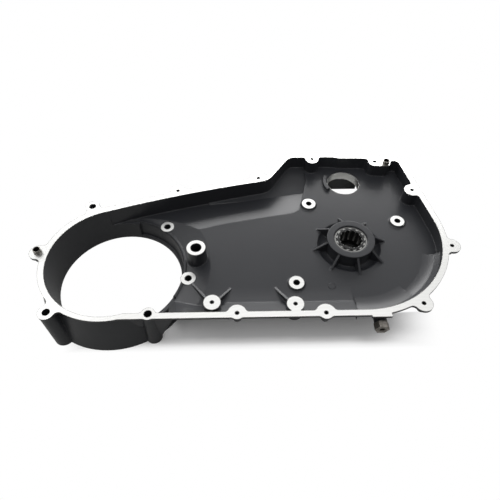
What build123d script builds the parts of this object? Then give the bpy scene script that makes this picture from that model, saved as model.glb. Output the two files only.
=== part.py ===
from build123d import *
from math import atan2, cos, degrees, hypot, radians, sin, tan
import os

# Inner half of a motorcycle clutch and primary cover, lying on its engine side with the open side up.
# The origin is the centre of the crankcase opening at the bottom face, +X runs along the straight
# front rim towards the bearing, and +Z points up to the machined rim. Lengths are millimetres.

# Heights above the bottom face
rim_top = 58.0
floor_top = 37.0
floor_thickness = 5.0
flange_thickness = 3.5
ear_depth = 14.0
ear_foot_radius = 4.8
ear_flare = 3.8
dowel_ear_depth = 12.0

# Crankcase opening and the ring wall round it
opening_radius = 85.0
ring_rim_radius = opening_radius + 2.4
ring_tray_radius = opening_radius + 0.8
ring_foot_radius = opening_radius + 20.0
ring_neck_radius = opening_radius + 8.2
ring_outside = (-1.0, 1.2)
ring_rim_outside_radius = opening_radius + 9.7
register_height = 5.0
lip_height = 5.6
lip_radius = opening_radius + 3.5
lean_radius = opening_radius + 5.0
lean_start_angle = -72.0
lean_end_angle = 78.0
ridge_inner_radius = opening_radius + 6.0
ridge_outer_radius = opening_radius + 9.0
ridge_start_angle = -28.0
ridge_end_angle = 98.0
ridge_top = 30.5
mouth_start_angle = -85.0
mouth_radius = opening_radius + 7.0
mouth_height = 26.0
mouth_slope = 0.84
terrace_outer_radius = opening_radius + 43.0
terrace_inner_radius = opening_radius + 13.0
terrace_low = 30.0

# Tray outline at the rim, inside edge
front_y = -83.2
far_start_angle = 104.0
far_middle = (98.7, 120.3)
far_end = (193.7, 141.8)
step_corner = (213.5, 146.3)
top_left_corner = (248.7, 198.8)
top_step_left = (319.0, 198.4)
top_step_right = (329.0, 195.4)
top_bend = (362.0, 194.9)
top_right_corner = (422.0, 187.0)
right_corner = (468.9, front_y)
corner_radii = [25.0, 17.0, 10.0, 10.0, 10.0, 6.0, 122.9]
wall = 4.0
rim_width = 8.2
bulge_blend = 5.0
ear_blend = 6.0

# Rim holes: place, radius of the ear outside, radius of the bulge inside
rim_screw_radius = 2.6
rim_screw_depth = 12.0
front_screw_1 = (164.5, -85.1)
front_screw_2 = (272.2, -86.6)
front_screw_3 = (393.7, -75.7)
right_screw_1 = (456.1, 13.5)
right_screw_2 = (428.7, 121.3)
top_screw_4 = (385.0, 186.5)
top_screw_3 = (285.4, 194.4)
top_screw_2 = (197.8, 151.3)
top_screw_1 = (76.1, 125.5)
rim_screws = [
    front_screw_1, front_screw_2, front_screw_3, right_screw_1, right_screw_2,
    top_screw_4, top_screw_3, top_screw_2, top_screw_1,
]
top_screw_2_ear_radius = 12.6
ear_radii = [8.7, 8.7, 11.6, 11.4, 9.0, 9.0, 9.0, top_screw_2_ear_radius, 11.0]
bulge_radii = [11.6, 12.4, 7.0, 7.0, 11.6, 10.2, 10.3, 7.0, 7.0]

# Through holes for the engine screws, at the corners of the ring
engine_screw_radius = 4.8
engine_front_left = (-65.8, -80.0)
engine_front_right = (57.1, -84.4)
engine_front_right_foot = (56.0, -85.0)
engine_top_left = (-45.2, 95.1)
engine_screws = [engine_front_left, engine_front_right, engine_top_left]
engine_ear_radii = [10.3, 8.4, 10.0]
engine_foot_places = [(-60.5, -83.0), engine_front_right_foot, engine_top_left]
engine_foot_radii = [13.0, 10.5, 10.0]

# Hollow dowels
front_dowel_place = (-101.0, 12.0)
rear_dowel_place = (402.0, 182.0)
dowel_seat_radius = 5.1
dowel_radius = 5.0
dowel_bore_radius = 4.0
dowel_seat_depth = 9.0
dowel_proud = 6.3
dowel_chamfer = 0.3
dowel_ear_radii = [11.8, 8.0]
rear_dowel_bulge = (401.0, 184.0)
rear_dowel_bulge_radius = 8.7

# Bosses in the tray
boss_a = (61.1, 77.5)
boss_c = (98.0, -15.2)
boss_a_radius = 9.85
boss_c_radius = 10.5
ring_boss_top = 31.0
ring_boss_bore_radius = 4.75
boss_b = (109.2, 16.0)
boss_b_radius = 13.0
boss_b_flare = 1.6
boss_b_bore_radius = 7.35
boss_b_screw_radius = 4.4
boss_b_seat = 27.0
boss_b_back = 12.0
boss_d = (133.7, -69.6)
boss_f = (236.1, -73.5)
stud_boss_radius = 10.8
stud_hole_radius = 2.5
stud_hole_depth = 18.0
hub = (322.6, 32.3)
boss_e = (hub[0] - 79.9, hub[1] - 62.9)
boss_g = (hub[0] - 49.0, hub[1] + 80.5)
boss_h = (hub[0] + 78.2, hub[1] + 43.2)
low_boss_radius = 10.3
low_boss_foot_radius = 12.8
low_boss_top = 40.0
low_boss_bore_radius = 4.3
transmission_pad_radius = 12.0

# Ribs beside the tall bosses
rib_thickness = 3.2
neck_width = 12.0
rib_top = 49.0
rib_tip_d = (156.0, -36.0)
rib_tip_f = (214.0, -36.0)

# Far recess: its outline at the tray floor, and its floor that falls away from the near edge
recess_outline = [
    (45.0, 49.0), (150.0, 77.8), (250.0, 97.1), (258.5, 104.5), (264.5, 124.5), (274.7, 167.0),
    (273.7, 190.0), (256.0, 227.0), (-72.0, 227.0), (-72.0, 49.0),
]
recess_edge = (165.0, 81.0)
recess_angle = 102.5
recess_start = -3.4
recess_end = 62.0
recess_fall = 8.0
recess_lowest = 28.0
# Slope that rises behind the valley at the recess's right end
ramp_foot = (200.0, 134.8)
ramp_angle = 95.7
ramp_foot_height = 30.8
ramp_rise = 6.0
ramp_length = 80.0
ramp_depth = 64.0

# Banks along the front and the right end of the tray
bank_start_y = -35.0
bank_crease_y = -59.0
bank_crease_rise = 1.6
bank_top = 51.0
bank_right_x = 314.0
ring_bank_y = -52.0
ring_bank_left_x = 40.0
undercut_left_x = 66.5
web_foot_height = 8.0
rim_web_x = 88.0
cove_crease_radius = 93.0
cove_middle_radius = 115.0
cove_middle_rise = 4.5
cove_wall_radius = 123.2
cove_split_angle = -55.0
cove_end_angle = -14.0
cove_step = 8.0
cove_centre = (324.7, 39.8)

# Hub and mainshaft bearing
hub_radius = 33.0
hub_top = 53.0
hub_bottom = 18.0
web_count = 8
web_first_angle = 8.0
web_thickness = 3.2
web_foot_radius = 53.0
web_drop = 2.0
trench_depth = 4.0
trench_flat_radius = 36.5
trench_outer_radius = 44.5
bearing_outer_radius = 22.5
bearing_mouth_radius = 23.5
bearing_mouth_depth = 2.0
bearing_length = 21.0
raceway_radius = 20.55
roller_count = 13
roller_radius = 2.7
roller_pitch_radius = 17.75
roller_length = 19.0
roller_clearance = 0.15
cage_inner_radius = 16.4
cage_outer_radius = 20.1
cage_rim_height = 1.2
bearing_flange_radius = 19.9
bearing_flange_thickness = 0.8
retaining_ring_thickness = 1.5
retaining_ring_inner_radius = 20.0
retaining_groove_radius = 23.7
retaining_ring_gap = 40.0
groove_clearance = 0.1
seal_length = 8.0
seal_lip_radius = 15.0
seal_case_radius = 20.5
seal_web = 2.0
seal_land = 2.0

# Starter hole
starter = (333.9, 160.0)
starter_radius = 24.8
starter_boss_radius = 30.5
starter_bore_bottom = 23.4
collar_inner_radius = 27.0
collar_outer_radius = 33.0
collar_height = 4.0
collar_angles = (150.0, 212.0)
skirt_half_width = 30.0
skirt_thickness = 4.0

# Drain boss and plug under the front rim
drain_x = 341.0
drain_z = 41.0
drain_boss_radius = 8.0
drain_boss_back_y = -82.0
drain_boss_end_y = -93.5
drain_tab = (327.0, 351.5)
plug_thread_radius = 5.9
plug_thread_length = 8.0
plug_head_flats = 16.0
plug_head_length = 8.5
plug_socket_radius = 3.3
plug_socket_depth = 6.0
thread_clearance = 0.05

ring_taper = degrees(atan2(ring_foot_radius - ring_neck_radius, rim_top - flange_thickness))
bore_taper = degrees(atan2(ring_rim_radius - opening_radius, rim_top - register_height))
ear_taper = degrees(atan2(ear_flare, ear_depth))
boss_b_taper = degrees(atan2(boss_b_flare, rim_top - boss_b_back))
low_boss_taper = degrees(atan2(low_boss_foot_radius - low_boss_radius, low_boss_top - floor_top + 0.5))
collar_sweep = collar_angles[1] - collar_angles[0]
hub_axis = Axis((hub[0], hub[1], 0), (0, 0, 1))
bearing_bottom = hub_top - bearing_mouth_depth - bearing_length
groove_bottom = bearing_bottom - retaining_ring_thickness - 2 * groove_clearance
above = rim_top + 10.0


def on_circle(radius, angle, centre=(0.0, 0.0)):
    return (centre[0] + radius * cos(radians(angle)), centre[1] + radius * sin(radians(angle)))


def standing_plane(place, angle):
    """Vertical plane through a place: its x runs out at the angle, its y points up."""
    outward = (cos(radians(angle)), sin(radians(angle)), 0)
    sideways = (sin(radians(angle)), -cos(radians(angle)), 0)
    return Plane(origin=(place[0], place[1], 0), x_dir=outward, z_dir=sideways)


def direction(start, end):
    return degrees(atan2(end[1] - start[1], end[0] - start[0]))


def corners_on(outline, places, radii):
    """The outline's corners that lie on the circles of its ears or bulges."""
    found = []
    for corner in outline.vertices():
        for place, radius in zip(places, radii):
            if abs(hypot(corner.X - place[0], corner.Y - place[1]) - radius) < 0.01:
                found.append(corner)
                break
    return found


# Inside edge of the tray, without the bulges round its screw holes
with BuildSketch() as tray:
    with BuildLine():
        ring_far = on_circle(ring_rim_radius, far_start_angle)
        ring_far_inside = on_circle(ring_tray_radius, far_start_angle)
        ring_front = ((ring_tray_radius**2 - front_y**2) ** 0.5, front_y)
        far_wall = ThreePointArc(ring_far, far_middle, far_end)
        FilletPolyline(
            far_end, step_corner, top_left_corner, top_step_left, top_step_right,
            top_bend, top_right_corner, right_corner, ring_front, radius=corner_radii,
        )
        ThreePointArc(ring_front, (-ring_tray_radius, 0), ring_far_inside)
        Line(ring_far_inside, ring_far)
    make_face()

# The open space above the tray floor, with the bulges left standing
bulge_places = rim_screws + [engine_front_right, rear_dowel_bulge]
all_bulge_radii = bulge_radii + [engine_ear_radii[1] + 0.4, rear_dowel_bulge_radius]
with BuildSketch() as bulged:
    add(tray.sketch)
    for place, radius in zip(bulge_places, all_bulge_radii):
        with Locations(place):
            Circle(radius, mode=Mode.SUBTRACT)
    with BuildLine():
        Polyline(
            (top_screw_4[0], top_screw_4[1] - bulge_radii[5]),
            (rear_dowel_bulge[0], rear_dowel_bulge[1] - rear_dowel_bulge_radius),
            (rear_dowel_bulge[0], top_bend[1]), (top_screw_4[0], top_bend[1]), close=True,
        )
    make_face(mode=Mode.SUBTRACT)
tray_edge = tray.sketch.faces()[0].outer_wire()
with BuildSketch() as open_space:
    add(bulged.sketch)
    on_edge = [
        corner for corner in corners_on(open_space, bulge_places, all_bulge_radii)
        if tray_edge.distance_to(corner) < 0.01
    ]
    fillet(on_edge, radius=bulge_blend)

# The rim's outside edge with its ears
ear_places = rim_screws + engine_screws + [front_dowel_place, rear_dowel_place]
all_ear_radii = ear_radii + engine_ear_radii + dowel_ear_radii
with BuildSketch() as rim:
    add(tray.sketch)
    offset(amount=rim_width, kind=Kind.ARC)
    with Locations(ring_outside):
        Circle(ring_rim_outside_radius)
    for place, radius in zip(ear_places, all_ear_radii):
        with Locations(place):
            Circle(radius)
    # The ear beside the step already runs into the step's own curve
    ear_corners = [
        corner for corner in corners_on(rim, ear_places, all_ear_radii)
        if hypot(corner.X - step_corner[0], corner.Y - step_corner[1]) > top_screw_2_ear_radius
    ]
    fillet(ear_corners, radius=ear_blend)

# Prism of the tray's inside, to trim what would reach through its walls
with BuildPart() as tray_core:
    with BuildSketch():
        add(tray.sketch)
        offset(amount=wall / 2)
    extrude(amount=above)

# Slope round the bearing side of the ring: its underside and the space above it
slope = (floor_top - terrace_low) / (terrace_outer_radius - terrace_inner_radius)
terrace_cut_radius = terrace_outer_radius + 1 / slope
with BuildPart() as terrace_body:
    with BuildSketch(Plane.XZ):
        Polygon(
            (opening_radius - 1, terrace_low - 2 * floor_thickness),
            (terrace_inner_radius, terrace_low - floor_thickness),
            (terrace_outer_radius + 4, floor_top - floor_thickness + 4 * slope),
            (terrace_outer_radius + 4, floor_top - 1), (opening_radius - 1, floor_top - 1), align=None,
        )
    revolve(axis=Axis.Z)
    add(tray_core.part, mode=Mode.INTERSECT)

# Lower floor under the far recess
recess_slope = tan(radians(recess_fall))
recess_end_height = floor_top - recess_slope * (recess_end - recess_start)
recess_middle_plane = standing_plane(recess_edge, recess_angle)
with BuildPart() as recess_body:
    with BuildSketch(recess_middle_plane):
        Polygon(
            (recess_start - 2 * wall, floor_top - floor_thickness),
            (recess_start, floor_top - floor_thickness),
            (recess_end - wall, recess_end_height - floor_thickness),
            (2 * recess_end, recess_end_height - floor_thickness),
            (2 * recess_end, floor_top - 1), (recess_start - 2 * wall, floor_top - 1), align=None,
        )
    extrude(amount=hub[0], both=True)
    with BuildSketch():
        Polygon(*recess_outline, align=None)
        offset(amount=wall, kind=Kind.INTERSECTION)
    extrude(amount=above, mode=Mode.INTERSECT)
    with BuildSketch():
        add(tray.sketch)
        offset(amount=wall)
    extrude(amount=above, mode=Mode.INTERSECT)

# Space above the recess floor, up to the level of the tray floor
with BuildPart() as recess_space:
    with BuildSketch(Plane.XY.offset(recess_lowest - 1)):
        Polygon(*recess_outline, align=None)
    extrude(amount=floor_top - recess_lowest + 2)
    with BuildSketch(recess_middle_plane):
        Polygon(
            (-recess_end, recess_lowest - 2), (-recess_end, floor_top), (recess_start, floor_top),
            (2 * recess_end, floor_top - recess_slope * (2 * recess_end - recess_start)),
            (2 * recess_end, recess_lowest - 12), align=None,
        )
    extrude(amount=hub[0], both=True, mode=Mode.SUBTRACT)
    with BuildSketch(standing_plane(ramp_foot, ramp_angle)):
        Polygon(
            (-wall, recess_lowest - 2), (-wall, ramp_foot_height - wall * tan(radians(ramp_rise))),
            (ramp_depth, ramp_foot_height + ramp_depth * tan(radians(ramp_rise))),
            (ramp_depth, recess_lowest - 2), align=None,
        )
    extrude(amount=ramp_length, both=True, mode=Mode.SUBTRACT)

# Everything below the surfaces of the tray floor, wider than the tray itself
cove_start_angle = direction(cove_centre, (bank_right_x, front_y))
cove_axis = Axis((cove_centre[0], cove_centre[1], 0), (0, 0, 1))
with BuildPart() as floor_mass:
    with BuildSketch(Plane.XY.offset(hub_bottom)):
        with Locations(hub):
            Rectangle(3 * hub[0], 2 * hub[0])
    extrude(amount=floor_top - hub_bottom)
    # Bank along the front, rising out of the floor in a shallow curve
    with BuildSketch(Plane.YZ.offset(boss_d[0] - stud_boss_radius)):
        with BuildLine():
            bank_foot = (bank_start_y, floor_top)
            bank_crease = (bank_crease_y, floor_top + bank_crease_rise)
            bank_middle = ((bank_start_y + bank_crease_y) / 2, floor_top + bank_crease_rise / 4)
            ThreePointArc(bank_foot, bank_middle, bank_crease)
            Polyline(
                bank_crease, (front_y, bank_top), (front_y - rim_width, bank_top),
                (front_y - rim_width, floor_top - 1), (bank_start_y, floor_top - 1), bank_foot,
            )
        make_face()
    extrude(amount=bank_right_x - boss_d[0] + stud_boss_radius)
    # Bank round the right end, in two parts with their own crease
    for start, end, crease in [
        (cove_start_angle, cove_split_angle, cove_crease_radius),
        (cove_split_angle, cove_end_angle, cove_crease_radius + cove_step),
    ]:
        with BuildSketch(standing_plane(cove_centre, start)):
            with BuildLine():
                cove_foot = (crease, floor_top)
                cove_rise = (cove_middle_radius, floor_top + cove_middle_rise)
                cove_between = ((crease + cove_middle_radius) / 2, floor_top + cove_middle_rise * 0.3)
                ThreePointArc(cove_foot, cove_between, cove_rise)
                Polyline(
                    cove_rise, (cove_wall_radius, bank_top), (cove_wall_radius + rim_width, bank_top),
                    (cove_wall_radius + rim_width, floor_top - 1), (crease, floor_top - 1), cove_foot,
                )
            make_face()
        revolve(axis=cove_axis, revolution_arc=end - start)
    # Slope down to the ring
    with BuildSketch(Plane.XZ):
        Polygon(
            (opening_radius - 4, floor_top + 1), (opening_radius - 4, terrace_low - 1),
            (ridge_inner_radius + 1, terrace_low - 1), (terrace_inner_radius, terrace_low),
            (terrace_cut_radius, floor_top + 1), align=None,
        )
    revolve(axis=Axis.Z, mode=Mode.SUBTRACT)
    # Bank between the ring and the front rim, and the mouth where it falls to the opening
    with BuildSketch(Plane.YZ.offset(ring_bank_left_x)):
        Polygon(
            (ring_bank_y, terrace_low - 1), (ring_bank_y, terrace_low + 1), (front_y, bank_top),
            (front_y - rim_width, bank_top), (front_y - rim_width, terrace_low - 1), align=None,
        )
    extrude(amount=boss_d[0] - ring_bank_left_x)
    with BuildSketch(standing_plane((0, 0), mouth_start_angle)):
        Polygon(
            (opening_radius - 4, mouth_height), (mouth_radius, mouth_height),
            (mouth_radius + (bank_top - mouth_height) / mouth_slope, bank_top),
            (opening_radius - 4, bank_top), align=None,
        )
    revolve(axis=Axis.Z, revolution_arc=ridge_start_angle - mouth_start_angle, mode=Mode.SUBTRACT)
    # Far recess
    add(recess_space.part, mode=Mode.SUBTRACT)
    # Trench round the hub, curving up to the floor
    trench_round = ((trench_outer_radius - trench_flat_radius) ** 2 + trench_depth**2) / (2 * trench_depth)
    trench_turn = atan2(trench_outer_radius - trench_flat_radius, trench_round - trench_depth) / 2
    with BuildSketch(standing_plane(hub, 0)):
        with BuildLine():
            trench_inside = (hub_radius - 4, floor_top - trench_depth)
            trench_foot = (trench_flat_radius, floor_top - trench_depth)
            trench_middle = (
                trench_flat_radius + trench_round * sin(trench_turn),
                floor_top - trench_depth + trench_round * (1 - cos(trench_turn)),
            )
            trench_edge = (trench_outer_radius, floor_top)
            Line(trench_inside, trench_foot)
            ThreePointArc(trench_foot, trench_middle, trench_edge)
            Polyline(trench_edge, (trench_outer_radius, floor_top + 1), (hub_radius - 4, floor_top + 1), trench_inside)
        make_face()
    revolve(axis=hub_axis, mode=Mode.SUBTRACT)

# The open space in the tray
with BuildPart() as cavity:
    with BuildSketch(Plane.XY.offset(mouth_height)):
        add(open_space.sketch)
    extrude(amount=above - mouth_height)
    add(floor_mass.part, mode=Mode.SUBTRACT)

with BuildPart() as casing:
    # Tray walls and floor
    with BuildSketch(Plane.XY.offset(floor_top - floor_thickness)):
        add(tray.sketch)
        offset(amount=wall)
    extrude(amount=rim_top - flange_thickness - floor_top + floor_thickness)
    add(terrace_body.part)
    add(recess_body.part)
    # Hollow outside the front bank, in two parts, and outside the bank at the right end
    undercut_middle_x = boss_d[0] - stud_boss_radius + wall
    bank_slope = (bank_top - terrace_low - 1) / (ring_bank_y - front_y)
    bank_under = bank_top - floor_thickness
    with BuildSketch(Plane.YZ.offset(undercut_left_x)):
        Polygon(
            (front_y - 2 * wall, register_height), (bank_start_y, register_height),
            (bank_start_y, bank_under - bank_slope * (bank_start_y - front_y + wall / 2)),
            (front_y - wall / 2, bank_under), (front_y - wall / 2, bank_top),
            (front_y - 2 * wall, bank_top), align=None,
        )
    extrude(amount=undercut_middle_x - undercut_left_x, mode=Mode.SUBTRACT)
    with BuildSketch(Plane.YZ.offset(undercut_middle_x)):
        Polygon(
            (front_y - 2 * wall, floor_top - floor_thickness),
            (bank_crease_y - 2 * wall, floor_top - floor_thickness),
            (front_y - wall / 2, bank_top), (front_y - 2 * wall, bank_top), align=None,
        )
    extrude(amount=bank_right_x - undercut_middle_x, mode=Mode.SUBTRACT)
    with BuildSketch(standing_plane(cove_centre, cove_start_angle)):
        Polygon(
            (cove_middle_radius - wall, floor_top - floor_thickness - 1),
            (cove_middle_radius + wall, floor_top - floor_thickness + cove_middle_rise),
            (cove_wall_radius + wall, bank_top), (cove_wall_radius + 3 * wall, bank_top),
            (cove_wall_radius + 3 * wall, floor_top - floor_thickness - 1), align=None,
        )
    revolve(axis=cove_axis, revolution_arc=cove_end_angle - cove_start_angle, mode=Mode.SUBTRACT)
    # Ring wall down to the crankcase, flared at its foot
    with BuildSketch() as ring_foot:
        with Locations(ring_outside):
            Circle(ring_foot_radius)
    extrude(amount=rim_top - flange_thickness, taper=ring_taper)
    # Rim flange and its ears
    with BuildSketch(Plane.XY.offset(rim_top - flange_thickness)):
        add(rim.sketch)
        with Locations(((drain_tab[0] + drain_tab[1]) / 2, drain_boss_end_y / 2 + front_y / 2)):
            Rectangle(drain_tab[1] - drain_tab[0], front_y - drain_boss_end_y)
    extrude(amount=flange_thickness)
    with BuildSketch(Plane.XY.offset(rim_top - ear_depth)):
        with Locations(*rim_screws):
            Circle(ear_foot_radius)
    extrude(amount=ear_depth, taper=-ear_taper)
    with BuildSketch(Plane.XY.offset(rim_top - dowel_ear_depth)):
        with Locations(front_dowel_place, rear_dowel_place):
            Circle(dowel_ear_radii[1])
    extrude(amount=dowel_ear_depth)
    # Web under the front rim beside the engine screw
    with BuildSketch(Plane.XZ.offset(-front_y + wall / 2)):
        Polygon(
            (engine_front_right[0], web_foot_height), (undercut_left_x, web_foot_height),
            (rim_web_x, rim_top - flange_thickness), (engine_front_right[0], rim_top - flange_thickness),
            align=None,
        )
    extrude(amount=wall)
    # Columns for the engine screws, down to the crankcase
    for top, foot, top_radius, foot_radius in zip(
        engine_screws, engine_foot_places, engine_ear_radii, engine_foot_radii
    ):
        with BuildSketch():
            with Locations(foot):
                Circle(foot_radius)
        with BuildSketch(Plane.XY.offset(rim_top - flange_thickness / 2)):
            with Locations(top):
                Circle(top_radius - 0.4)
        loft()
    # Hub, starter boss and transmission pads behind the floor
    with BuildSketch(Plane.XY.offset(hub_bottom)):
        with Locations(hub):
            Circle(hub_radius)
    extrude(amount=floor_top - hub_bottom)
    with BuildSketch(Plane.XY.offset(starter_bore_bottom)):
        with Locations(starter):
            Circle(starter_boss_radius)
    extrude(amount=floor_top - starter_bore_bottom)
    with BuildSketch():
        with Locations(boss_e, boss_g, boss_h):
            Circle(transmission_pad_radius)
    extrude(amount=floor_top - floor_thickness / 2)

    # Open space in the tray and through the ring
    add(cavity.part, mode=Mode.SUBTRACT)
    with BuildSketch(Plane.XY):
        Circle(opening_radius)
    extrude(amount=register_height, mode=Mode.SUBTRACT)
    with BuildSketch(Plane.XY.offset(register_height)):
        Circle(opening_radius)
    extrude(amount=above - register_height, taper=-bore_taper, mode=Mode.SUBTRACT)
    # Leaning wall inside the ring on the bearing side, with a lip at its foot
    with BuildSketch(standing_plane((0, 0), lean_start_angle)):
        Polygon(
            (opening_radius - 4, lip_height), (lip_radius, lip_height), (lean_radius, ridge_top - 3),
            (lean_radius + 1, ridge_top + 1), (opening_radius - 4, ridge_top + 1), align=None,
        )
    revolve(axis=Axis.Z, revolution_arc=lean_end_angle - lean_start_angle, mode=Mode.SUBTRACT)

    # Ridge along the top of the leaning wall
    with BuildSketch(standing_plane((0, 0), ridge_start_angle)):
        Polygon(
            (ridge_inner_radius, terrace_low - floor_thickness), (ridge_inner_radius, ridge_top),
            (ridge_outer_radius, ridge_top), (ridge_outer_radius + 1, terrace_low - floor_thickness),
            align=None,
        )
    revolve(axis=Axis.Z, revolution_arc=ridge_end_angle - ridge_start_angle)
    # Bosses: two low ones beside the opening, tall ones, and coned ones on the floor
    with BuildSketch():
        with Locations(boss_a):
            Circle(boss_a_radius)
        with Locations(boss_c):
            Circle(boss_c_radius)
    extrude(amount=ring_boss_top)
    with BuildSketch(Plane.XY.offset(boss_b_back)):
        with Locations(boss_b):
            Circle(boss_b_radius + boss_b_flare)
    extrude(amount=rim_top - boss_b_back, taper=boss_b_taper)
    with BuildSketch(Plane.XY.offset(floor_top - 1)):
        with Locations(boss_d, boss_f):
            Circle(stud_boss_radius)
    extrude(amount=rim_top - floor_top + 1)
    for place in (boss_d, boss_f):
        with BuildSketch(Plane.YZ.offset(place[0])):
            Polygon(
                (place[1], floor_top - 1), (place[1], bank_top), (front_y - 1, bank_top),
                (front_y - 1, bank_top - wall / 2), align=None,
            )
        extrude(amount=stud_boss_radius - 0.5, both=True)
    with BuildSketch(Plane.XY.offset(rim_top - flange_thickness)):
        with Locations((boss_f[0], (boss_f[1] + front_y) / 2)):
            Rectangle(neck_width, boss_f[1] - front_y + 1)
    extrude(amount=flange_thickness)
    with BuildSketch(Plane.XY.offset(floor_top - 0.5)):
        with Locations(boss_e, boss_g, boss_h):
            Circle(low_boss_foot_radius)
    extrude(amount=low_boss_top - floor_top + 0.5, taper=low_boss_taper)
    # Hub with its webs
    with BuildSketch(Plane.XY.offset(hub_bottom + 1)):
        with Locations(hub):
            Circle(hub_radius)
    extrude(amount=hub_top - hub_bottom - 1)
    for count in range(web_count):
        with BuildSketch(standing_plane(hub, web_first_angle + count * 360 / web_count)):
            Polygon(
                (hub_radius - 2, floor_top - trench_depth - 1),
                (trench_outer_radius, floor_top - trench_depth - 1),
                (web_foot_radius, floor_top - 0.3), (web_foot_radius, floor_top),
                (hub_radius, hub_top - web_drop), (hub_radius - 2, hub_top - web_drop), align=None,
            )
        extrude(amount=web_thickness / 2, both=True)
    # Ribs that stiffen the two tall bosses
    for place, tip, tip_height, tip_radius in [
        (boss_d, rib_tip_d, floor_top, 0), (boss_f, rib_tip_f, floor_top, 0),
        (boss_d, boss_c, ring_boss_top + 1.5, boss_c_radius - 0.5),
    ]:
        reach = hypot(tip[0] - place[0], tip[1] - place[1]) - tip_radius
        with BuildSketch(standing_plane(place, direction(place, tip))):
            Polygon(
                (0, terrace_low), (reach, terrace_low - 1), (reach, tip_height),
                (stud_boss_radius, rib_top), (0, rib_top), align=None,
            )
        extrude(amount=rib_thickness / 2, both=True)
    # Machined seats of the two low bosses
    with BuildSketch(Plane.XY.offset(ring_boss_top)):
        with Locations(boss_a):
            Circle(boss_a_radius)
        with Locations(boss_c):
            Circle(boss_c_radius)
    extrude(amount=floor_top - ring_boss_top, mode=Mode.SUBTRACT)
    # Collar beside the starter hole
    with BuildSketch(Plane.XY.offset(floor_top - 0.5)):
        with BuildLine():
            inner = CenterArc(starter, collar_inner_radius, collar_angles[0], collar_sweep)
            outer = CenterArc(starter, collar_outer_radius, collar_angles[0], collar_sweep)
            Line(inner @ 0, outer @ 0)
            Line(inner @ 1, outer @ 1)
        make_face()
    extrude(amount=collar_height + 0.5)
    # Skirt under the far side of the starter hole
    with BuildSketch():
        with Locations((starter[0], starter[1] + starter_radius + skirt_thickness / 2)):
            Rectangle(2 * skirt_half_width, skirt_thickness)
    extrude(amount=starter_bore_bottom + 1)
    # Drain boss under the front rim
    with BuildSketch(Plane.XZ.offset(-drain_boss_end_y)):
        with Locations((drain_x, drain_z)):
            Circle(drain_boss_radius)
    extrude(amount=drain_boss_end_y - drain_boss_back_y)

    # Holes in the rim and its ears
    with BuildSketch(Plane.XY.offset(rim_top)):
        with Locations(*rim_screws):
            Circle(rim_screw_radius)
    extrude(amount=-rim_screw_depth, mode=Mode.SUBTRACT)
    with BuildSketch(Plane.XY):
        with Locations(*engine_screws):
            Circle(engine_screw_radius)
        with Locations(boss_a, boss_c):
            Circle(ring_boss_bore_radius)
        with Locations(boss_e, boss_g, boss_h):
            Circle(low_boss_bore_radius)
        with Locations(boss_b):
            Circle(boss_b_screw_radius)
    extrude(amount=above, mode=Mode.SUBTRACT)
    with BuildSketch(Plane.XY.offset(rim_top)):
        with Locations(front_dowel_place, rear_dowel_place):
            Circle(dowel_seat_radius)
    extrude(amount=-dowel_seat_depth, mode=Mode.SUBTRACT)
    # Holes in the tall bosses
    with BuildSketch(Plane.XY.offset(boss_b_seat)):
        with Locations(boss_b):
            Circle(boss_b_bore_radius)
    extrude(amount=above - boss_b_seat, mode=Mode.SUBTRACT)
    with BuildSketch(Plane.XY.offset(rim_top)):
        with Locations(boss_d, boss_f):
            Circle(stud_hole_radius)
    extrude(amount=-stud_hole_depth, mode=Mode.SUBTRACT)
    # Starter bore, hub bore with its mouth and retaining groove, drain thread
    with BuildSketch(Plane.XY):
        with Locations(starter):
            Circle(starter_radius)
    extrude(amount=above, mode=Mode.SUBTRACT)
    with BuildSketch(Plane.XY):
        with Locations(hub):
            Circle(bearing_outer_radius)
    extrude(amount=above, mode=Mode.SUBTRACT)
    with BuildSketch(Plane.XY.offset(hub_top - bearing_mouth_depth)):
        with Locations(hub):
            Circle(bearing_mouth_radius)
    extrude(amount=above, mode=Mode.SUBTRACT)
    with BuildSketch(Plane.XY.offset(groove_bottom)):
        with Locations(hub):
            Circle(retaining_groove_radius)
    extrude(amount=retaining_ring_thickness + 2 * groove_clearance, mode=Mode.SUBTRACT)
    with BuildSketch(Plane.XZ.offset(-drain_boss_end_y)):
        with Locations((drain_x, drain_z)):
            Circle(plug_thread_radius + thread_clearance)
    extrude(amount=-plug_thread_length - 1, mode=Mode.SUBTRACT)

# Hollow dowels, pressed into the rim
dowels = []
for label, place in [("front_dowel", front_dowel_place), ("rear_dowel", rear_dowel_place)]:
    with BuildPart() as dowel:
        with BuildSketch(Plane.XY.offset(rim_top - dowel_seat_depth)):
            with Locations(place):
                Circle(dowel_seat_radius)
                Circle(dowel_bore_radius, mode=Mode.SUBTRACT)
        extrude(amount=dowel_seat_depth)
        with BuildSketch(Plane.XY.offset(rim_top)):
            with Locations(place):
                Circle(dowel_radius)
                Circle(dowel_bore_radius, mode=Mode.SUBTRACT)
        extrude(amount=dowel_proud)
        rims = dowel.edges().filter_by(GeomType.CIRCLE).group_by(Axis.Z)[-1]
        chamfer(rims, length=dowel_chamfer)
    dowel.part.label = label
    dowels.append(dowel.part)

# Outer ring of the bearing, with a flange at its lower end that keeps the rollers in
with BuildPart() as bearing_outer_ring:
    with BuildSketch(Plane.XY.offset(bearing_bottom)):
        with Locations(hub):
            Circle(bearing_outer_radius)
            Circle(raceway_radius, mode=Mode.SUBTRACT)
    extrude(amount=bearing_length)
    with BuildSketch(Plane.XY.offset(bearing_bottom)):
        with Locations(hub):
            Circle(raceway_radius + 0.5)
            Circle(bearing_flange_radius, mode=Mode.SUBTRACT)
    extrude(amount=bearing_flange_thickness)
bearing_outer_ring.part.label = "bearing_outer_ring"

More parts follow.
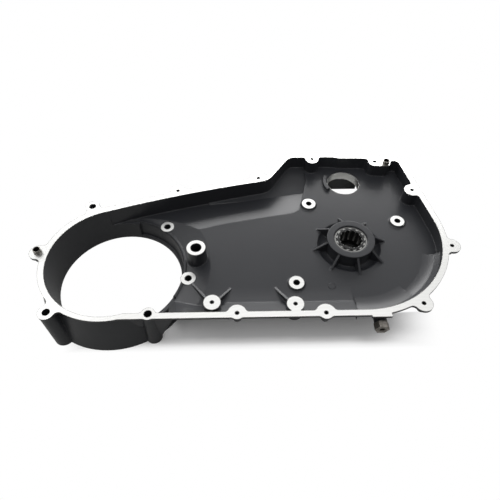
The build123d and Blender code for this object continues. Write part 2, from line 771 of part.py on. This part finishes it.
# Cage: a closed rim below, a thin rim above, and a bar between each two rollers
cage_bottom = bearing_bottom + bearing_flange_thickness + roller_clearance
rollers_bottom = cage_bottom + cage_rim_height + roller_clearance
cage_top = rollers_bottom + roller_length + roller_clearance
pocket_radius = roller_radius + roller_clearance
with BuildPart() as bearing_cage:
    with BuildSketch(Plane.XY.offset(cage_bottom)):
        with Locations(hub):
            Circle(cage_outer_radius)
            Circle(cage_inner_radius, mode=Mode.SUBTRACT)
    extrude(amount=cage_top - cage_bottom)
    with BuildSketch(Plane.XY.offset(rollers_bottom - roller_clearance)):
        with Locations(hub):
            with PolarLocations(roller_pitch_radius, roller_count):
                Circle(pocket_radius)
    extrude(amount=cage_top - rollers_bottom + 2 * roller_clearance, mode=Mode.SUBTRACT)
bearing_cage.part.label = "bearing_cage"

rollers = []
for number in range(roller_count):
    place = on_circle(roller_pitch_radius, number * 360 / roller_count, hub)
    with BuildPart() as roller:
        with BuildSketch(Plane.XY.offset(rollers_bottom)):
            with Locations(place):
                Circle(roller_radius)
        extrude(amount=roller_length)
    roller.part.label = f"roller_{number + 1:02d}"
    rollers.append(roller.part)

# Internal retaining ring in its groove, open at one side
with BuildPart() as retaining_ring:
    with BuildSketch(Plane.XY.offset(groove_bottom + groove_clearance)):
        with Locations(hub):
            Circle(retaining_groove_radius - groove_clearance)
            Circle(retaining_ring_inner_radius, mode=Mode.SUBTRACT)
        gap_left = on_circle(2 * retaining_groove_radius, 270 - retaining_ring_gap / 2, hub)
        gap_right = on_circle(2 * retaining_groove_radius, 270 + retaining_ring_gap / 2, hub)
        with BuildLine():
            Polyline(hub, gap_left, gap_right, close=True)
        make_face(mode=Mode.SUBTRACT)
    extrude(amount=retaining_ring_thickness)
retaining_ring.part.label = "retaining_ring"

# Lip seal behind the bearing
with BuildPart() as oil_seal:
    with BuildSketch(standing_plane(hub, 0)):
        Polygon(
            (bearing_outer_radius, hub_bottom), (bearing_outer_radius, hub_bottom + seal_length),
            (seal_case_radius, hub_bottom + seal_length), (seal_case_radius, hub_bottom + seal_web),
            (seal_lip_radius + 2, hub_bottom + seal_web), (seal_lip_radius + 1, hub_bottom + seal_length / 2),
            (seal_lip_radius, hub_bottom + seal_length / 2), (seal_lip_radius, hub_bottom + seal_land),
            (seal_lip_radius + 1, hub_bottom), align=None,
        )
    revolve(axis=hub_axis)
oil_seal.part.label = "oil_seal"

# Drain plug: threaded shank, hexagon head and a socket in its end
with BuildPart() as drain_plug:
    with BuildSketch(Plane.XZ.offset(-drain_boss_end_y)):
        with Locations((drain_x, drain_z)):
            Circle(plug_thread_radius)
    extrude(amount=-plug_thread_length)
    with BuildSketch(Plane.XZ.offset(-drain_boss_end_y)):
        with Locations((drain_x, drain_z)):
            RegularPolygon(plug_head_flats / 2, 6, major_radius=False)
    extrude(amount=plug_head_length)
    with BuildSketch(Plane.XZ.offset(-drain_boss_end_y + plug_head_length)):
        with Locations((drain_x, drain_z)):
            Circle(plug_socket_radius)
    extrude(amount=-plug_socket_depth, mode=Mode.SUBTRACT)
drain_plug.part.label = "drain_plug"

casing.part.label = "casing"
os.makedirs("parts", exist_ok=True)
for piece in [
    casing.part, *dowels, bearing_outer_ring.part, bearing_cage.part, *rollers,
    retaining_ring.part, oil_seal.part, drain_plug.part,
]:
    export_step(piece, f"parts/{piece.label}.step")
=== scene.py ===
from math import pi, radians

import bmesh
import bpy
from mathutils import Matrix, Vector


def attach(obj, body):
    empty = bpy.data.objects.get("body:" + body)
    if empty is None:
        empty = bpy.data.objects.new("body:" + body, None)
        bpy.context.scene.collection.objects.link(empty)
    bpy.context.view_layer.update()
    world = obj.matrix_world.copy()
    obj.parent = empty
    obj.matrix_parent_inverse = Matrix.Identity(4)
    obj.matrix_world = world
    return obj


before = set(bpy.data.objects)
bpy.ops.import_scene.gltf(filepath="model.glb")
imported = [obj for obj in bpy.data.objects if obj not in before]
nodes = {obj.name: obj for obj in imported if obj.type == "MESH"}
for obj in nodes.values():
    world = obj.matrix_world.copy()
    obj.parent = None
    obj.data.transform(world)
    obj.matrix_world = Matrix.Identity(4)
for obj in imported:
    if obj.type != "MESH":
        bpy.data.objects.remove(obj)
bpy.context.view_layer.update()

mm = 0.001


def hexColour(code):
    parts = [int(code[at:at + 2], 16) / 255 for at in (1, 3, 5)]
    linear = [part / 12.92 if part <= 0.04045 else ((part + 0.055) / 1.055) ** 2.4 for part in parts]
    return (*linear, 1.0)


def addNode(tree, kind, settings=None, links=None):
    node = tree.nodes.new(kind)
    for name, value in (settings or {}).items():
        if isinstance(name, int) or name in node.inputs:
            node.inputs[name].default_value = value
        else:
            setattr(node, name, value)
    for name, socket in (links or {}).items():
        tree.links.new(socket, node.inputs[name])
    return node


# Each side is a socket or a number
def mathNode(tree, operation, first, second):
    node = addNode(tree, "ShaderNodeMath", {"operation": operation})
    for at, side in enumerate((first, second)):
        if isinstance(side, (int, float)):
            node.inputs[at].default_value = side
        else:
            tree.links.new(side, node.inputs[at])
    return node.outputs[0]


# 0 at start and 1 at end, held beyond both
def rampBetween(tree, value, start, end):
    return addNode(
        tree, "ShaderNodeMapRange", {"From Min": start, "From Max": end, "To Min": 0.0, "To Max": 1.0},
        {"Value": value},
    ).outputs[0]


# Colours are hex codes or sockets
def colourBetween(tree, factor, first, second):
    node = addNode(tree, "ShaderNodeMix", {"data_type": "RGBA"}, {0: factor})
    for at, side in ((6, first), (7, second)):
        if isinstance(side, str):
            node.inputs[at].default_value = hexColour(side)
        else:
            tree.links.new(side, node.inputs[at])
    return node.outputs[2]


def noiseAt(tree, place, size, detail=2.0):
    noise = addNode(tree, "ShaderNodeTexNoise", {"Scale": 1 / size, "Detail": detail}, {"Vector": place})
    return noise.outputs["Fac"]


def bumpOn(tree, height, depth, normal=None):
    links = {"Height": height}
    if normal is not None:
        links["Normal"] = normal
    return addNode(tree, "ShaderNodeBump", {"Distance": depth}, links).outputs[0]


def newMaterial(name):
    material = bpy.data.materials.new(name)
    material.use_nodes = True
    tree = material.node_tree
    tree.nodes.clear()
    shader = addNode(tree, "ShaderNodeBsdfPrincipled")
    output = addNode(tree, "ShaderNodeOutputMaterial")
    tree.links.new(shader.outputs["BSDF"], output.inputs["Surface"])
    place = addNode(tree, "ShaderNodeTexCoord").outputs["Object"]
    return material, tree, shader, place


def meshPiece(name, shape, material, body):
    bmesh.ops.recalc_face_normals(shape, faces=shape.faces)
    mesh = bpy.data.meshes.new(name)
    shape.to_mesh(mesh)
    shape.free()
    piece = bpy.data.objects.new(name, mesh)
    bpy.context.scene.collection.objects.link(piece)
    piece.data.materials.append(material)
    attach(piece, body)
    return piece


# Camera where the photograph was taken from: metres, degrees and millimetres
camera = {
    "place": (0.17340, -0.34411, 0.513), "turn": (37.950, -0.1845, -1.1534), "lens": 30.96, "sensor": 36,
    "near": 0.01,
}
cameraData = bpy.data.cameras.new("camera")
cameraData.lens = camera["lens"]
cameraData.sensor_width = camera["sensor"]
cameraData.clip_start = camera["near"]
cameraObject = bpy.data.objects.new("camera", cameraData)
cameraObject.location = camera["place"]
cameraObject.rotation_euler = [radians(angle) for angle in camera["turn"]]
bpy.context.scene.collection.objects.link(cameraObject)
bpy.context.scene.camera = cameraObject
bpy.context.scene.view_settings.view_transform = "Standard"
print("camera set")

# Studio: a white tent, with a soft lamp low behind, one overhead and a weaker one at the upper left
studio = {
    "tentTop": "#ffffff", "tentFront": "#cacaca", "tentStrength": 0.74,
    "tentTurn": (0.0, 0.6, 0.8), "tentFade": (-0.1, 0.75),
    "backLamp": {"place": (0.20, 1.60, 0.75), "aim": (0.19, 0.05, 0.03), "size": (2.6, 0.6), "watts": 40},
    "topLamp": {"place": (0.25, 0.00, 1.50), "aim": (0.25, 0.01, 0.03), "size": (1.5, 0.4), "watts": 9},
    "leftLamp": {"place": (-1.10, 0.35, 1.10), "aim": (0.10, 0.03, 0.03), "size": (0.9, 0.9), "watts": 4},
    "paperSeen": "#ffffff", "paperBounce": "#b4b4b2", "paperRough": 0.9, "paperSide": 8.0,
    # Where the paper turns from real shade to pure white, by y in front and behind and by x at the sides
    "shadeFront": (-95 * mm, -107 * mm), "shadeBack": (-58 * mm, -54 * mm),
    "shadeLeft": (-20 * mm, -60 * mm), "shadeRight": (362 * mm, 432 * mm),
    "underHub": (322.6 * mm, 52.0 * mm, 0.0), "underHubReach": (44 * mm, 46 * mm),
}


def addLamp(name, settings):
    data = bpy.data.lights.new(name, "AREA")
    data.shape = "RECTANGLE"
    data.size, data.size_y = settings["size"]
    data.energy = settings["watts"]
    lamp = bpy.data.objects.new(name, data)
    lamp.location = settings["place"]
    aim = Vector(settings["aim"]) - Vector(settings["place"])
    lamp.rotation_euler = aim.to_track_quat("-Z", "Y").to_euler()
    bpy.context.scene.collection.objects.link(lamp)


for lampName in ("backLamp", "topLamp", "leftLamp"):
    addLamp(lampName, studio[lampName])

# The tent is open towards the lens, so it is brightest above and behind the cover and dim in front
world = bpy.data.worlds.new("tent")
world.use_nodes = True
tent = world.node_tree
towards = addNode(
    tent, "ShaderNodeVectorMath", {"operation": "DOT_PRODUCT", 1: studio["tentTurn"]},
    {0: addNode(tent, "ShaderNodeTexCoord").outputs["Generated"]},
).outputs["Value"]
tentSeen = addNode(tent, "ShaderNodeLightPath").outputs["Is Camera Ray"]
tentColour = colourBetween(
    tent, rampBetween(tent, towards, *studio["tentFade"]), studio["tentFront"], studio["tentTop"]
)
tent.links.new(
    colourBetween(tent, tentSeen, tentColour, studio["tentTop"]), tent.nodes["Background"].inputs["Color"]
)
tentGlow = addNode(
    tent, "ShaderNodeMapRange", {"To Min": studio["tentStrength"], "To Max": 1.0}, {"Value": tentSeen}
).outputs[0]
tent.links.new(tentGlow, tent.nodes["Background"].inputs["Strength"])
bpy.context.scene.world = world


# Paper that is pure white to the lens, apart from the shade along the front rim and behind the seal
def paperSweep():
    material, tree, shader, place = newMaterial("paperSweep")
    seen = addNode(tree, "ShaderNodeLightPath").outputs["Is Camera Ray"]
    tree.links.new(
        colourBetween(tree, seen, studio["paperBounce"], studio["paperSeen"]), shader.inputs["Base Color"]
    )
    shader.inputs["Roughness"].default_value = studio["paperRough"]
    shader.inputs["Specular IOR Level"].default_value = 0.0
    where = addNode(tree, "ShaderNodeSeparateXYZ", links={0: place})
    white = rampBetween(tree, where.outputs["Y"], *studio["shadeFront"])
    for axis, side in (("Y", "shadeBack"), ("X", "shadeLeft"), ("X", "shadeRight")):
        white = mathNode(tree, "MAXIMUM", white, rampBetween(tree, where.outputs[axis], *studio[side]))
    aside = addNode(
        tree, "ShaderNodeVectorMath", {"operation": "DISTANCE", 1: studio["underHub"]}, {0: place}
    ).outputs["Value"]
    white = mathNode(tree, "MULTIPLY", white, rampBetween(tree, aside, *studio["underHubReach"]))
    glow = addNode(tree, "ShaderNodeEmission", {"Color": hexColour(studio["paperSeen"]), "Strength": 1.0})
    mixed = addNode(tree, "ShaderNodeMixShader", links={0: mathNode(tree, "MULTIPLY", white, seen)})
    tree.links.new(shader.outputs[0], mixed.inputs[1])
    tree.links.new(glow.outputs[0], mixed.inputs[2])
    output = [node for node in tree.nodes if node.type == "OUTPUT_MATERIAL"][0]
    tree.links.new(mixed.outputs[0], output.inputs["Surface"])
    return material


floorShape = bmesh.new()
bmesh.ops.create_grid(floorShape, x_segments=1, y_segments=1, size=studio["paperSide"] / 2)
floorMesh = bpy.data.meshes.new("floor")
floorShape.to_mesh(floorMesh)
floorShape.free()
floor = bpy.data.objects.new("floor", floorMesh)
bpy.context.scene.collection.objects.link(floor)
floor.data.materials.append(paperSweep())
print("studio set")

# Black powder coat over die-cast aluminium: satin grey-black with a fine pebbled skin. The joint
# faces are milled bright after coating, so they are bare metal with fine cutter lines, and duller
# along their edges.
coat = {
    "black": "#202124", "blackLight": "#252629", "cloud": 60 * mm, "specular": 0.37, "rough": 0.34,
    "cast": 2.4 * mm, "pebble": 0.9 * mm, "pebbleDepth": 0.03 * mm, "waviness": 9 * mm,
    "wavinessDepth": 0.05 * mm,
    "milled": "#f3f3f1", "milledDark": "#efefed", "milledEdge": "#80807e", "milledRough": 0.30,
    "levels": (58.0 * mm, 40.0 * mm, 31.0 * mm, 0.0), "window": 0.12 * mm, "level": 0.996,
    "cutterLine": 1.6 * pi * mm,  # coarser than the real lines, so that they show
    "cutterCentre": (0.35, -0.9, 0), "lineDepth": 0.0015 * mm, "crisp": 0.3 * mm,
    "worn": 1.2 * mm, "wornTurn": (0.999, 0.94),
    "starter": (333.9 * mm, 160.0 * mm, 0.0), "starterReach": 25.2 * mm, "starterBottom": 23.0 * mm,
}
waveRadians = 20  # the wave texture turns this many radians in a metre at a scale of 1


def castingMaterial():
    material, tree, shader, place = newMaterial("powderCoatedDieCasting")
    geometry = addNode(tree, "ShaderNodeNewGeometry")
    where = addNode(tree, "ShaderNodeSeparateXYZ", links={0: place})
    facing = addNode(tree, "ShaderNodeSeparateXYZ", links={0: geometry.outputs["True Normal"]}).outputs["Z"]
    milled = 0.0
    for level in coat["levels"]:
        close = addNode(
            tree, "ShaderNodeMath", {"operation": "COMPARE", 1: level, 2: coat["window"]},
            {0: where.outputs["Z"]},
        ).outputs[0]
        milled = mathNode(tree, "MAXIMUM", milled, close)
    # Milled faces lie level, and the bore for the starter's nose is bright too
    flat = mathNode(tree, "GREATER_THAN", mathNode(tree, "ABSOLUTE", facing, 0.0), coat["level"])
    milled = mathNode(tree, "MULTIPLY", milled, flat)
    aside = addNode(
        tree, "ShaderNodeVectorMath", {"operation": "SUBTRACT", 1: coat["starter"]}, {0: place}
    ).outputs[0]
    aside = addNode(
        tree, "ShaderNodeVectorMath", {"operation": "MULTIPLY", 1: (1, 1, 0)}, {0: aside}
    ).outputs[0]
    reach = addNode(tree, "ShaderNodeVectorMath", {"operation": "LENGTH"}, {0: aside}).outputs["Value"]
    inBore = mathNode(tree, "LESS_THAN", reach, coat["starterReach"])
    inBore = mathNode(
        tree, "MULTIPLY", inBore, mathNode(tree, "GREATER_THAN", where.outputs["Z"], coat["starterBottom"])
    )
    milled = mathNode(tree, "MAXIMUM", milled, inBore)

    black = colourBetween(tree, noiseAt(tree, place, coat["cloud"], 3.0), coat["black"], coat["blackLight"])
    away = [-side for side in coat["cutterCentre"]]
    offCentre = addNode(tree, "ShaderNodeMapping", {"Location": away}, {"Vector": place}).outputs[0]
    lines = addNode(
        tree, "ShaderNodeTexWave",
        {"wave_type": "RINGS", "rings_direction": "Z", "Scale": 2 * pi / (coat["cutterLine"] * waveRadians),
         "Distortion": 0.4, "Detail": 1.0},
        {"Vector": offCentre},
    ).outputs["Fac"]
    bright = colourBetween(tree, lines, coat["milledDark"], coat["milled"])
    turned = addNode(tree, "ShaderNodeBevel", {"samples": 6, "Radius": coat["worn"]}).outputs[0]
    turned = addNode(
        tree, "ShaderNodeVectorMath", {"operation": "DOT_PRODUCT"},
        {0: turned, 1: geometry.outputs["True Normal"]},
    ).outputs["Value"]
    bright = colourBetween(tree, rampBetween(tree, turned, *coat["wornTurn"]), bright, coat["milledEdge"])
    colour = colourBetween(tree, milled, black, bright)
    rough = addNode(
        tree, "ShaderNodeMapRange", {"To Min": coat["rough"], "To Max": coat["milledRough"]},
        {"Value": milled},
    ).outputs[0]
    edge = addNode(
        tree, "ShaderNodeMapRange", {"To Min": coat["cast"], "To Max": coat["crisp"]}, {"Value": milled}
    ).outputs[0]
    rounded = addNode(tree, "ShaderNodeBevel", {"samples": 4}, {"Radius": edge}).outputs[0]
    skin = bumpOn(tree, noiseAt(tree, place, coat["pebble"]), coat["pebbleDepth"], rounded)
    skin = bumpOn(tree, noiseAt(tree, place, coat["waviness"], 1.0), coat["wavinessDepth"], skin)
    cut = bumpOn(tree, lines, coat["lineDepth"], rounded)
    mixed = addNode(tree, "ShaderNodeMix", {"data_type": "VECTOR"}, {0: milled, 4: skin, 5: cut})
    sockets = {"Base Color": colour, "Metallic": milled, "Roughness": rough, "Normal": mixed.outputs[1]}
    for name, socket in sockets.items():
        tree.links.new(socket, shader.inputs[name])
    shader.inputs["Specular IOR Level"].default_value = coat["specular"]
    return material


castingFinish = castingMaterial()
nodes["casing"].data.materials.clear()
nodes["casing"].data.materials.append(castingFinish)
print("casing finished")

# Oiled steel sleeves, greyer where the oil film has been wiped off
dowel = {
    "name": "oiledSteel", "dark": "#5c5a56", "light": "#b4b0a9", "patch": 3.0 * mm, "share": (0.52, 0.72),
    "metal": 1.0, "rough": (0.22, 0.42), "grain": 0.5 * mm, "grainDepth": 0.006 * mm, "edge": 0.3 * mm,
}
# Ground bearing steel: even grey with a slight haze
outerRing = {
    "name": "groundBearingSteel", "dark": "#7d7d7b", "light": "#949492", "patch": 8.0 * mm,
    "share": (0.35, 0.75), "metal": 1.0, "rough": (0.26, 0.36), "grain": 0.3 * mm,
    "grainDepth": 0.004 * mm, "edge": 0.3 * mm,
}
# Polished roller ends, brighter than the ring round them
roller = {
    "name": "polishedRollerSteel", "dark": "#9a9a98", "light": "#c4c4c2", "patch": 2.0 * mm,
    "share": (0.3, 0.8), "metal": 1.0, "rough": (0.16, 0.26), "grain": 0.3 * mm,
    "grainDepth": 0.002 * mm, "edge": 0.35 * mm,
}
# Blackened pressed steel, dull with oil
cage = {
    "name": "blackenedSteel", "dark": "#101011", "light": "#1d1d1e", "patch": 2.5 * mm, "share": (0.3, 0.8),
    "metal": 0.6, "rough": (0.40, 0.55), "grain": 0.4 * mm, "grainDepth": 0.008 * mm, "edge": 0.25 * mm,
}
# Phosphated spring steel: matte dark grey
springRing = {
    "name": "phosphatedSpringSteel", "dark": "#2b2b2c", "light": "#39393a", "patch": 2.0 * mm,
    "share": (0.3, 0.7), "metal": 0.7, "rough": (0.50, 0.62), "grain": 0.3 * mm, "grainDepth": 0.01 * mm,
    "edge": 0.2 * mm,
}
# Matte nitrile rubber with a moulded skin
seal = {
    "name": "nitrileRubber", "dark": "#17181a", "light": "#1f2022", "patch": 3.0 * mm, "share": (0.3, 0.7),
    "metal": 0.0, "rough": (0.55, 0.68), "grain": 0.6 * mm, "grainDepth": 0.015 * mm, "edge": 0.3 * mm,
}
# Dull zinc plate, greyed by handling
plug = {
    "name": "dullZincPlate", "dark": "#6f6b66", "light": "#98938d", "patch": 4.0 * mm, "share": (0.35, 0.7),
    "metal": 1.0, "rough": (0.34, 0.50), "grain": 0.7 * mm, "grainDepth": 0.01 * mm, "edge": 0.5 * mm,
}


# Two tones in soft patches, a roughness that follows them, a fine grain and worn edges
def pieceFinish(settings):
    material, tree, shader, place = newMaterial(settings["name"])
    patches = rampBetween(tree, noiseAt(tree, place, settings["patch"], 4.0), *settings["share"])
    colour = colourBetween(tree, patches, settings["dark"], settings["light"])
    rough = addNode(
        tree, "ShaderNodeMapRange", {"To Min": settings["rough"][1], "To Max": settings["rough"][0]},
        {"Value": patches},
    ).outputs[0]
    rounded = addNode(tree, "ShaderNodeBevel", {"samples": 4, "Radius": settings["edge"]}).outputs[0]
    normal = bumpOn(tree, noiseAt(tree, place, settings["grain"], 3.0), settings["grainDepth"], rounded)
    for name, socket in (("Base Color", colour), ("Roughness", rough), ("Normal", normal)):
        tree.links.new(socket, shader.inputs[name])
    shader.inputs["Metallic"].default_value = settings["metal"]
    return material


finishes = {
    "front_dowel": pieceFinish(dowel), "bearing_outer_ring": pieceFinish(outerRing),
    "bearing_cage": pieceFinish(cage), "retaining_ring": pieceFinish(springRing),
    "oil_seal": pieceFinish(seal), "drain_plug": pieceFinish(plug),
}
finishes["rear_dowel"] = finishes["front_dowel"]
rollerFinish = pieceFinish(roller)
for name in nodes:
    if name.startswith("roller_"):
        finishes[name] = rollerFinish
for name, material in finishes.items():
    nodes[name].data.materials.clear()
    nodes[name].data.materials.append(material)
print("pieces finished")

# Threads cut in the rim and stud holes
threads = {
    "rim": [
        (164.5, -85.1), (272.2, -86.6), (393.7, -75.7), (456.1, 13.5), (428.7, 121.3), (385.0, 186.5),
        (285.4, 194.4), (197.8, 151.3), (76.1, 125.5),
    ],
    "stud": [(133.7, -69.6), (236.1, -73.5)],
    "rimRadius": 2.6, "studRadius": 2.5, "pitch": 1.0, "tooth": 0.4, "buried": 0.1, "halfRidge": 0.42,
    "turns": 8, "stepsPerTurn": 24, "start": 57.4,
}


def threadRidges(name, places, radius):
    shape = bmesh.new()
    pitch = threads["pitch"]
    steps = threads["turns"] * threads["stepsPerTurn"]
    root = radius + threads["buried"]
    rise = threads["halfRidge"] * pitch
    profile = [(root, rise), (radius - threads["tooth"], 0.0), (root, -rise)]
    for x, y in places:
        corners = [
            shape.verts.new(((x + out) * mm, y * mm, (threads["start"] - pitch / 2 + up) * mm))
            for out, up in profile
        ]
        first = shape.faces.new(corners)
        bmesh.ops.spin(
            shape, geom=[first], cent=(x * mm, y * mm, 0), axis=(0, 0, 1),
            dvec=(0, 0, -pitch * mm / threads["stepsPerTurn"]), angle=2 * pi * threads["turns"],
            steps=steps, use_merge=False, use_duplicate=False,
        )
    return meshPiece(name, shape, castingFinish, "casing")


threadRidges("rimThreads", threads["rim"], threads["rimRadius"])
threadRidges("studThreads", threads["stud"], threads["studRadius"])
print("threads cut")

# Pressed top rim of the roller cage, which covers the inner part of the roller ends
cageRim = {"centre": (322.6, 32.3), "inner": 15.9, "outer": 18.3, "low": 51.5, "high": 52.0, "steps": 96}
shape = bmesh.new()
profile = [
    (cageRim["inner"], cageRim["low"]), (cageRim["outer"], cageRim["low"]),
    (cageRim["outer"], cageRim["high"]), (cageRim["inner"], cageRim["high"]),
]
hubX, hubY = cageRim["centre"]
corners = [shape.verts.new(((hubX + out) * mm, hubY * mm, up * mm)) for out, up in profile]
sides = [shape.edges.new((corners[at - 1], corners[at])) for at in range(len(corners))]
bmesh.ops.spin(
    shape, geom=corners + sides, cent=(hubX * mm, hubY * mm, 0), axis=(0, 0, 1), dvec=(0, 0, 0),
    angle=2 * pi, steps=cageRim["steps"], use_merge=True, use_duplicate=False,
)
meshPiece("cageTopRim", shape, finishes["bearing_cage"], "bearing_cage")
print("cage rim added")

# Round mark of an ejector pin on the tray floor in front of the hub, slightly proud, with a soft edge
ejector = {"place": (289.3, -35.1), "floor": 37.0, "radius": 5.4, "proud": 0.3, "soft": 0.2, "segments": 40}
shape = bmesh.new()
markX, markY = ejector["place"]
bmesh.ops.create_cone(
    shape, cap_ends=True, segments=ejector["segments"], radius1=ejector["radius"] * mm,
    radius2=ejector["radius"] * mm, depth=2 * ejector["proud"] * mm,
    matrix=Matrix.Translation((markX * mm, markY * mm, ejector["floor"] * mm)),
)
rims = [edge for edge in shape.edges if all(vert.co.z > ejector["floor"] * mm for vert in edge.verts)]
bmesh.ops.bevel(
    shape, geom=rims, offset=ejector["soft"] * mm, offset_type="OFFSET", affect="EDGES", segments=2,
    profile=0.5, material=-1, clamp_overlap=True,
)
meshPiece("ejectorMarks", shape, castingFinish, "casing")
print("ejector mark added")
